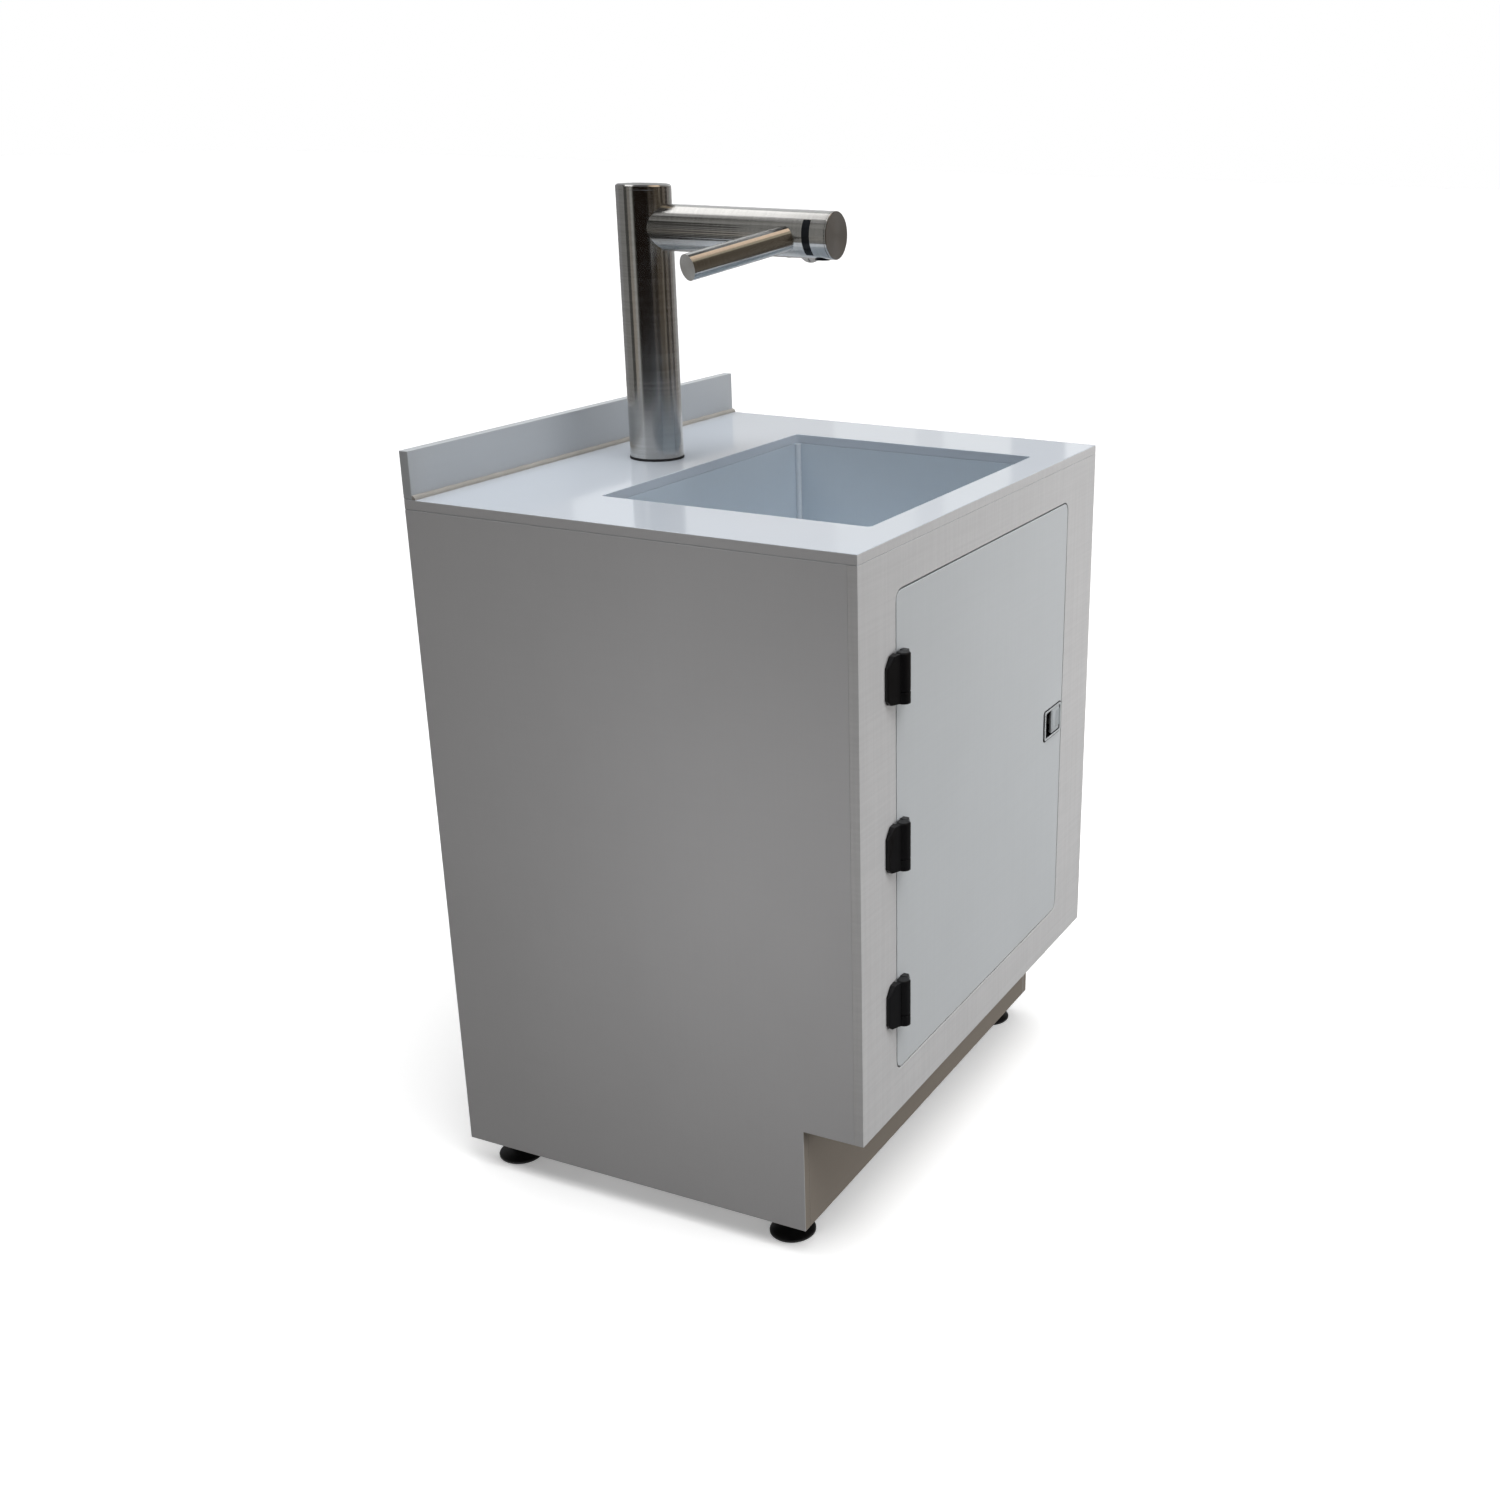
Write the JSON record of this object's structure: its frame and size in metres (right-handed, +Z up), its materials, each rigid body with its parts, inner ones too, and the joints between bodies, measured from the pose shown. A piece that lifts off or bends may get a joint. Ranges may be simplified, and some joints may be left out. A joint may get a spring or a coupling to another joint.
{
  "type": "laboratory sink unit",
  "caption": "Plastic-sheet laboratory cabinet with a sunken basin, an inset hinged door with a slide latch, levelling feet and a sensor tap with two hand-dryer arms.",
  "frame": {"origin": "on the floor, in the middle of the outline's width and depth", "axes": "+X to the right as seen from the front, +Y towards the back, +Z up"},
  "size_m": [0.7, 0.597, 1.21],
  "materials": {
    "sheet_side": "satin light grey plastic sheet",
    "sheet_front": "satin white-grey plastic sheet with a fine grain",
    "sheet_top": "glossy white-grey plastic sheet",
    "sheet_basin": "smooth blue-grey plastic sheet",
    "sheet_door": "satin cool grey plastic sheet",
    "sheet_kick": "satin grey plastic sheet",
    "sealant": "beige sealant",
    "block": "machined grey plastic",
    "hinge": "black moulded plastic",
    "stainless": "brushed stainless steel",
    "zinc": "zinc-plated steel",
    "bezel": "satin light grey plastic",
    "latch_dark": "black moulded plastic",
    "slider": "satin light grey plastic",
    "gasket": "black rubber",
    "window": "glossy black plastic",
    "hose_grey": "ribbed grey hose",
    "braid": "braided stainless hose",
    "motor": "dark moulded plastic",
    "valve": "chromed brass",
    "handle": "red moulded plastic",
    "drain_white": "white moulded plastic",
    "foot": "black moulded rubber"
  },
  "bodies": {
    "cabinet": {"worktop": "sheet_top", "backsplash": "sheet_top", "backsplash_bead": "sealant", "side_panel_left": "sheet_side", "side_panel_right": "sheet_side", "back_panel": "sheet_side", "base_panel": "sheet_side", "front_frame": "sheet_front", "toe_kick": "sheet_kick", "basin": "sheet_basin", "foot_blocks": "block", "foot_lock_nuts": "zinc", "latch_keeper": "zinc", "hinge_frame_leaf_top": "hinge", "hinge_frame_leaf_middle": "hinge", "hinge_frame_leaf_bottom": "hinge", "hinge_pins": "zinc", "tap_column": "stainless", "tap_cap": "stainless", "tap_gasket": "gasket", "tap_spout": "stainless", "spout_end_disc": "stainless", "dryer_arm_left": "stainless", "dryer_arm_right": "stainless", "sensor_windows": "window", "aerator": "window", "tap_shank": "zinc", "tap_clamp_plate": "zinc", "tap_clamp_nut": "zinc", "air_hose": "hose_grey", "motor_housing": "motor", "motor_bracket": "zinc", "water_hose": "braid", "hose_nuts": "valve", "valve_body": "valve", "inlet_lock_nut": "valve", "drain_flange": "stainless", "drain_body": "drain_white", "drain_nuts": "drain_white", "trap_bend": "drain_white", "waste_pipe": "drain_white"},
    "door": {"door_panel": "sheet_door", "hinge_door_leaf_top": "hinge", "hinge_door_leaf_middle": "hinge", "hinge_door_leaf_bottom": "hinge", "latch_bezel": "bezel", "latch_case": "latch_dark"},
    "latch": {"latch_slider": "slider", "latch_bolt": "latch_dark", "latch_spring": "zinc"},
    "valve_turn_handle": {"valve_handle": "handle"},
    "pad_front_left": {"foot_pad_front_left": "foot"},
    "stem_front_left": {"foot_stem_front_left": "zinc"},
    "pad_front_right": {"foot_pad_front_right": "foot"},
    "stem_front_right": {"foot_stem_front_right": "zinc"},
    "pad_back_left": {"foot_pad_back_left": "foot"},
    "stem_back_left": {"foot_stem_back_left": "zinc"},
    "pad_back_right": {"foot_pad_back_right": "foot"},
    "stem_back_right": {"foot_stem_back_right": "zinc"}
  },
  "joints": [
    {"name": "door_hinge", "type": "hinge", "parent": "cabinet", "child": "door", "pos_m": [-0.261, -0.2905, 0.527], "axis": [0, 0, -1], "range_deg": [0, 110]},
    {"name": "latch_slide", "type": "slide", "parent": "door", "child": "latch", "axis": [-1, 0, 0], "range_m": [0, 0.009], "stiffness_N_per_m": 400, "springref_m": -0.01, "deforming": ["latch_spring"]},
    {"name": "valve_turn", "type": "hinge", "parent": "cabinet", "child": "valve_turn_handle", "pos_m": [0.25, 0.15, 0.533], "axis": [0, 1, 0], "range_deg": [0, 90]},
    {"name": "foot_front_left_height", "type": "slide", "parent": "cabinet", "child": "pad_front_left", "axis": [0, 0, -1], "range_m": [-0.01, 0.012]},
    {"name": "foot_front_left_turn", "type": "hinge", "parent": "pad_front_left", "child": "stem_front_left", "pos_m": [-0.308, -0.1595, 0.03], "axis": [0, 0, -1], "range_deg": [-2100, 2520]},
    {"name": "foot_front_right_height", "type": "slide", "parent": "cabinet", "child": "pad_front_right", "axis": [0, 0, -1], "range_m": [-0.01, 0.012]},
    {"name": "foot_front_right_turn", "type": "hinge", "parent": "pad_front_right", "child": "stem_front_right", "pos_m": [0.308, -0.1595, 0.03], "axis": [0, 0, -1], "range_deg": [-2100, 2520]},
    {"name": "foot_back_left_height", "type": "slide", "parent": "cabinet", "child": "pad_back_left", "axis": [0, 0, -1], "range_m": [-0.01, 0.012]},
    {"name": "foot_back_left_turn", "type": "hinge", "parent": "pad_back_left", "child": "stem_back_left", "pos_m": [-0.308, 0.2525, 0.03], "axis": [0, 0, -1], "range_deg": [-2100, 2520]},
    {"name": "foot_back_right_height", "type": "slide", "parent": "cabinet", "child": "pad_back_right", "axis": [0, 0, -1], "range_m": [-0.01, 0.012]},
    {"name": "foot_back_right_turn", "type": "hinge", "parent": "pad_back_right", "child": "stem_back_right", "pos_m": [0.308, 0.2525, 0.03], "axis": [0, 0, -1], "range_deg": [-2100, 2520]}
  ],
  "couplings": [
    {"joint": "foot_front_left_turn", "follows": "foot_front_left_height", "rad_per_m": 3590.4},
    {"joint": "foot_front_right_turn", "follows": "foot_front_right_height", "rad_per_m": 3590.4},
    {"joint": "foot_back_left_turn", "follows": "foot_back_left_height", "rad_per_m": 3590.4},
    {"joint": "foot_back_right_turn", "follows": "foot_back_right_height", "rad_per_m": 3590.4}
  ]
}
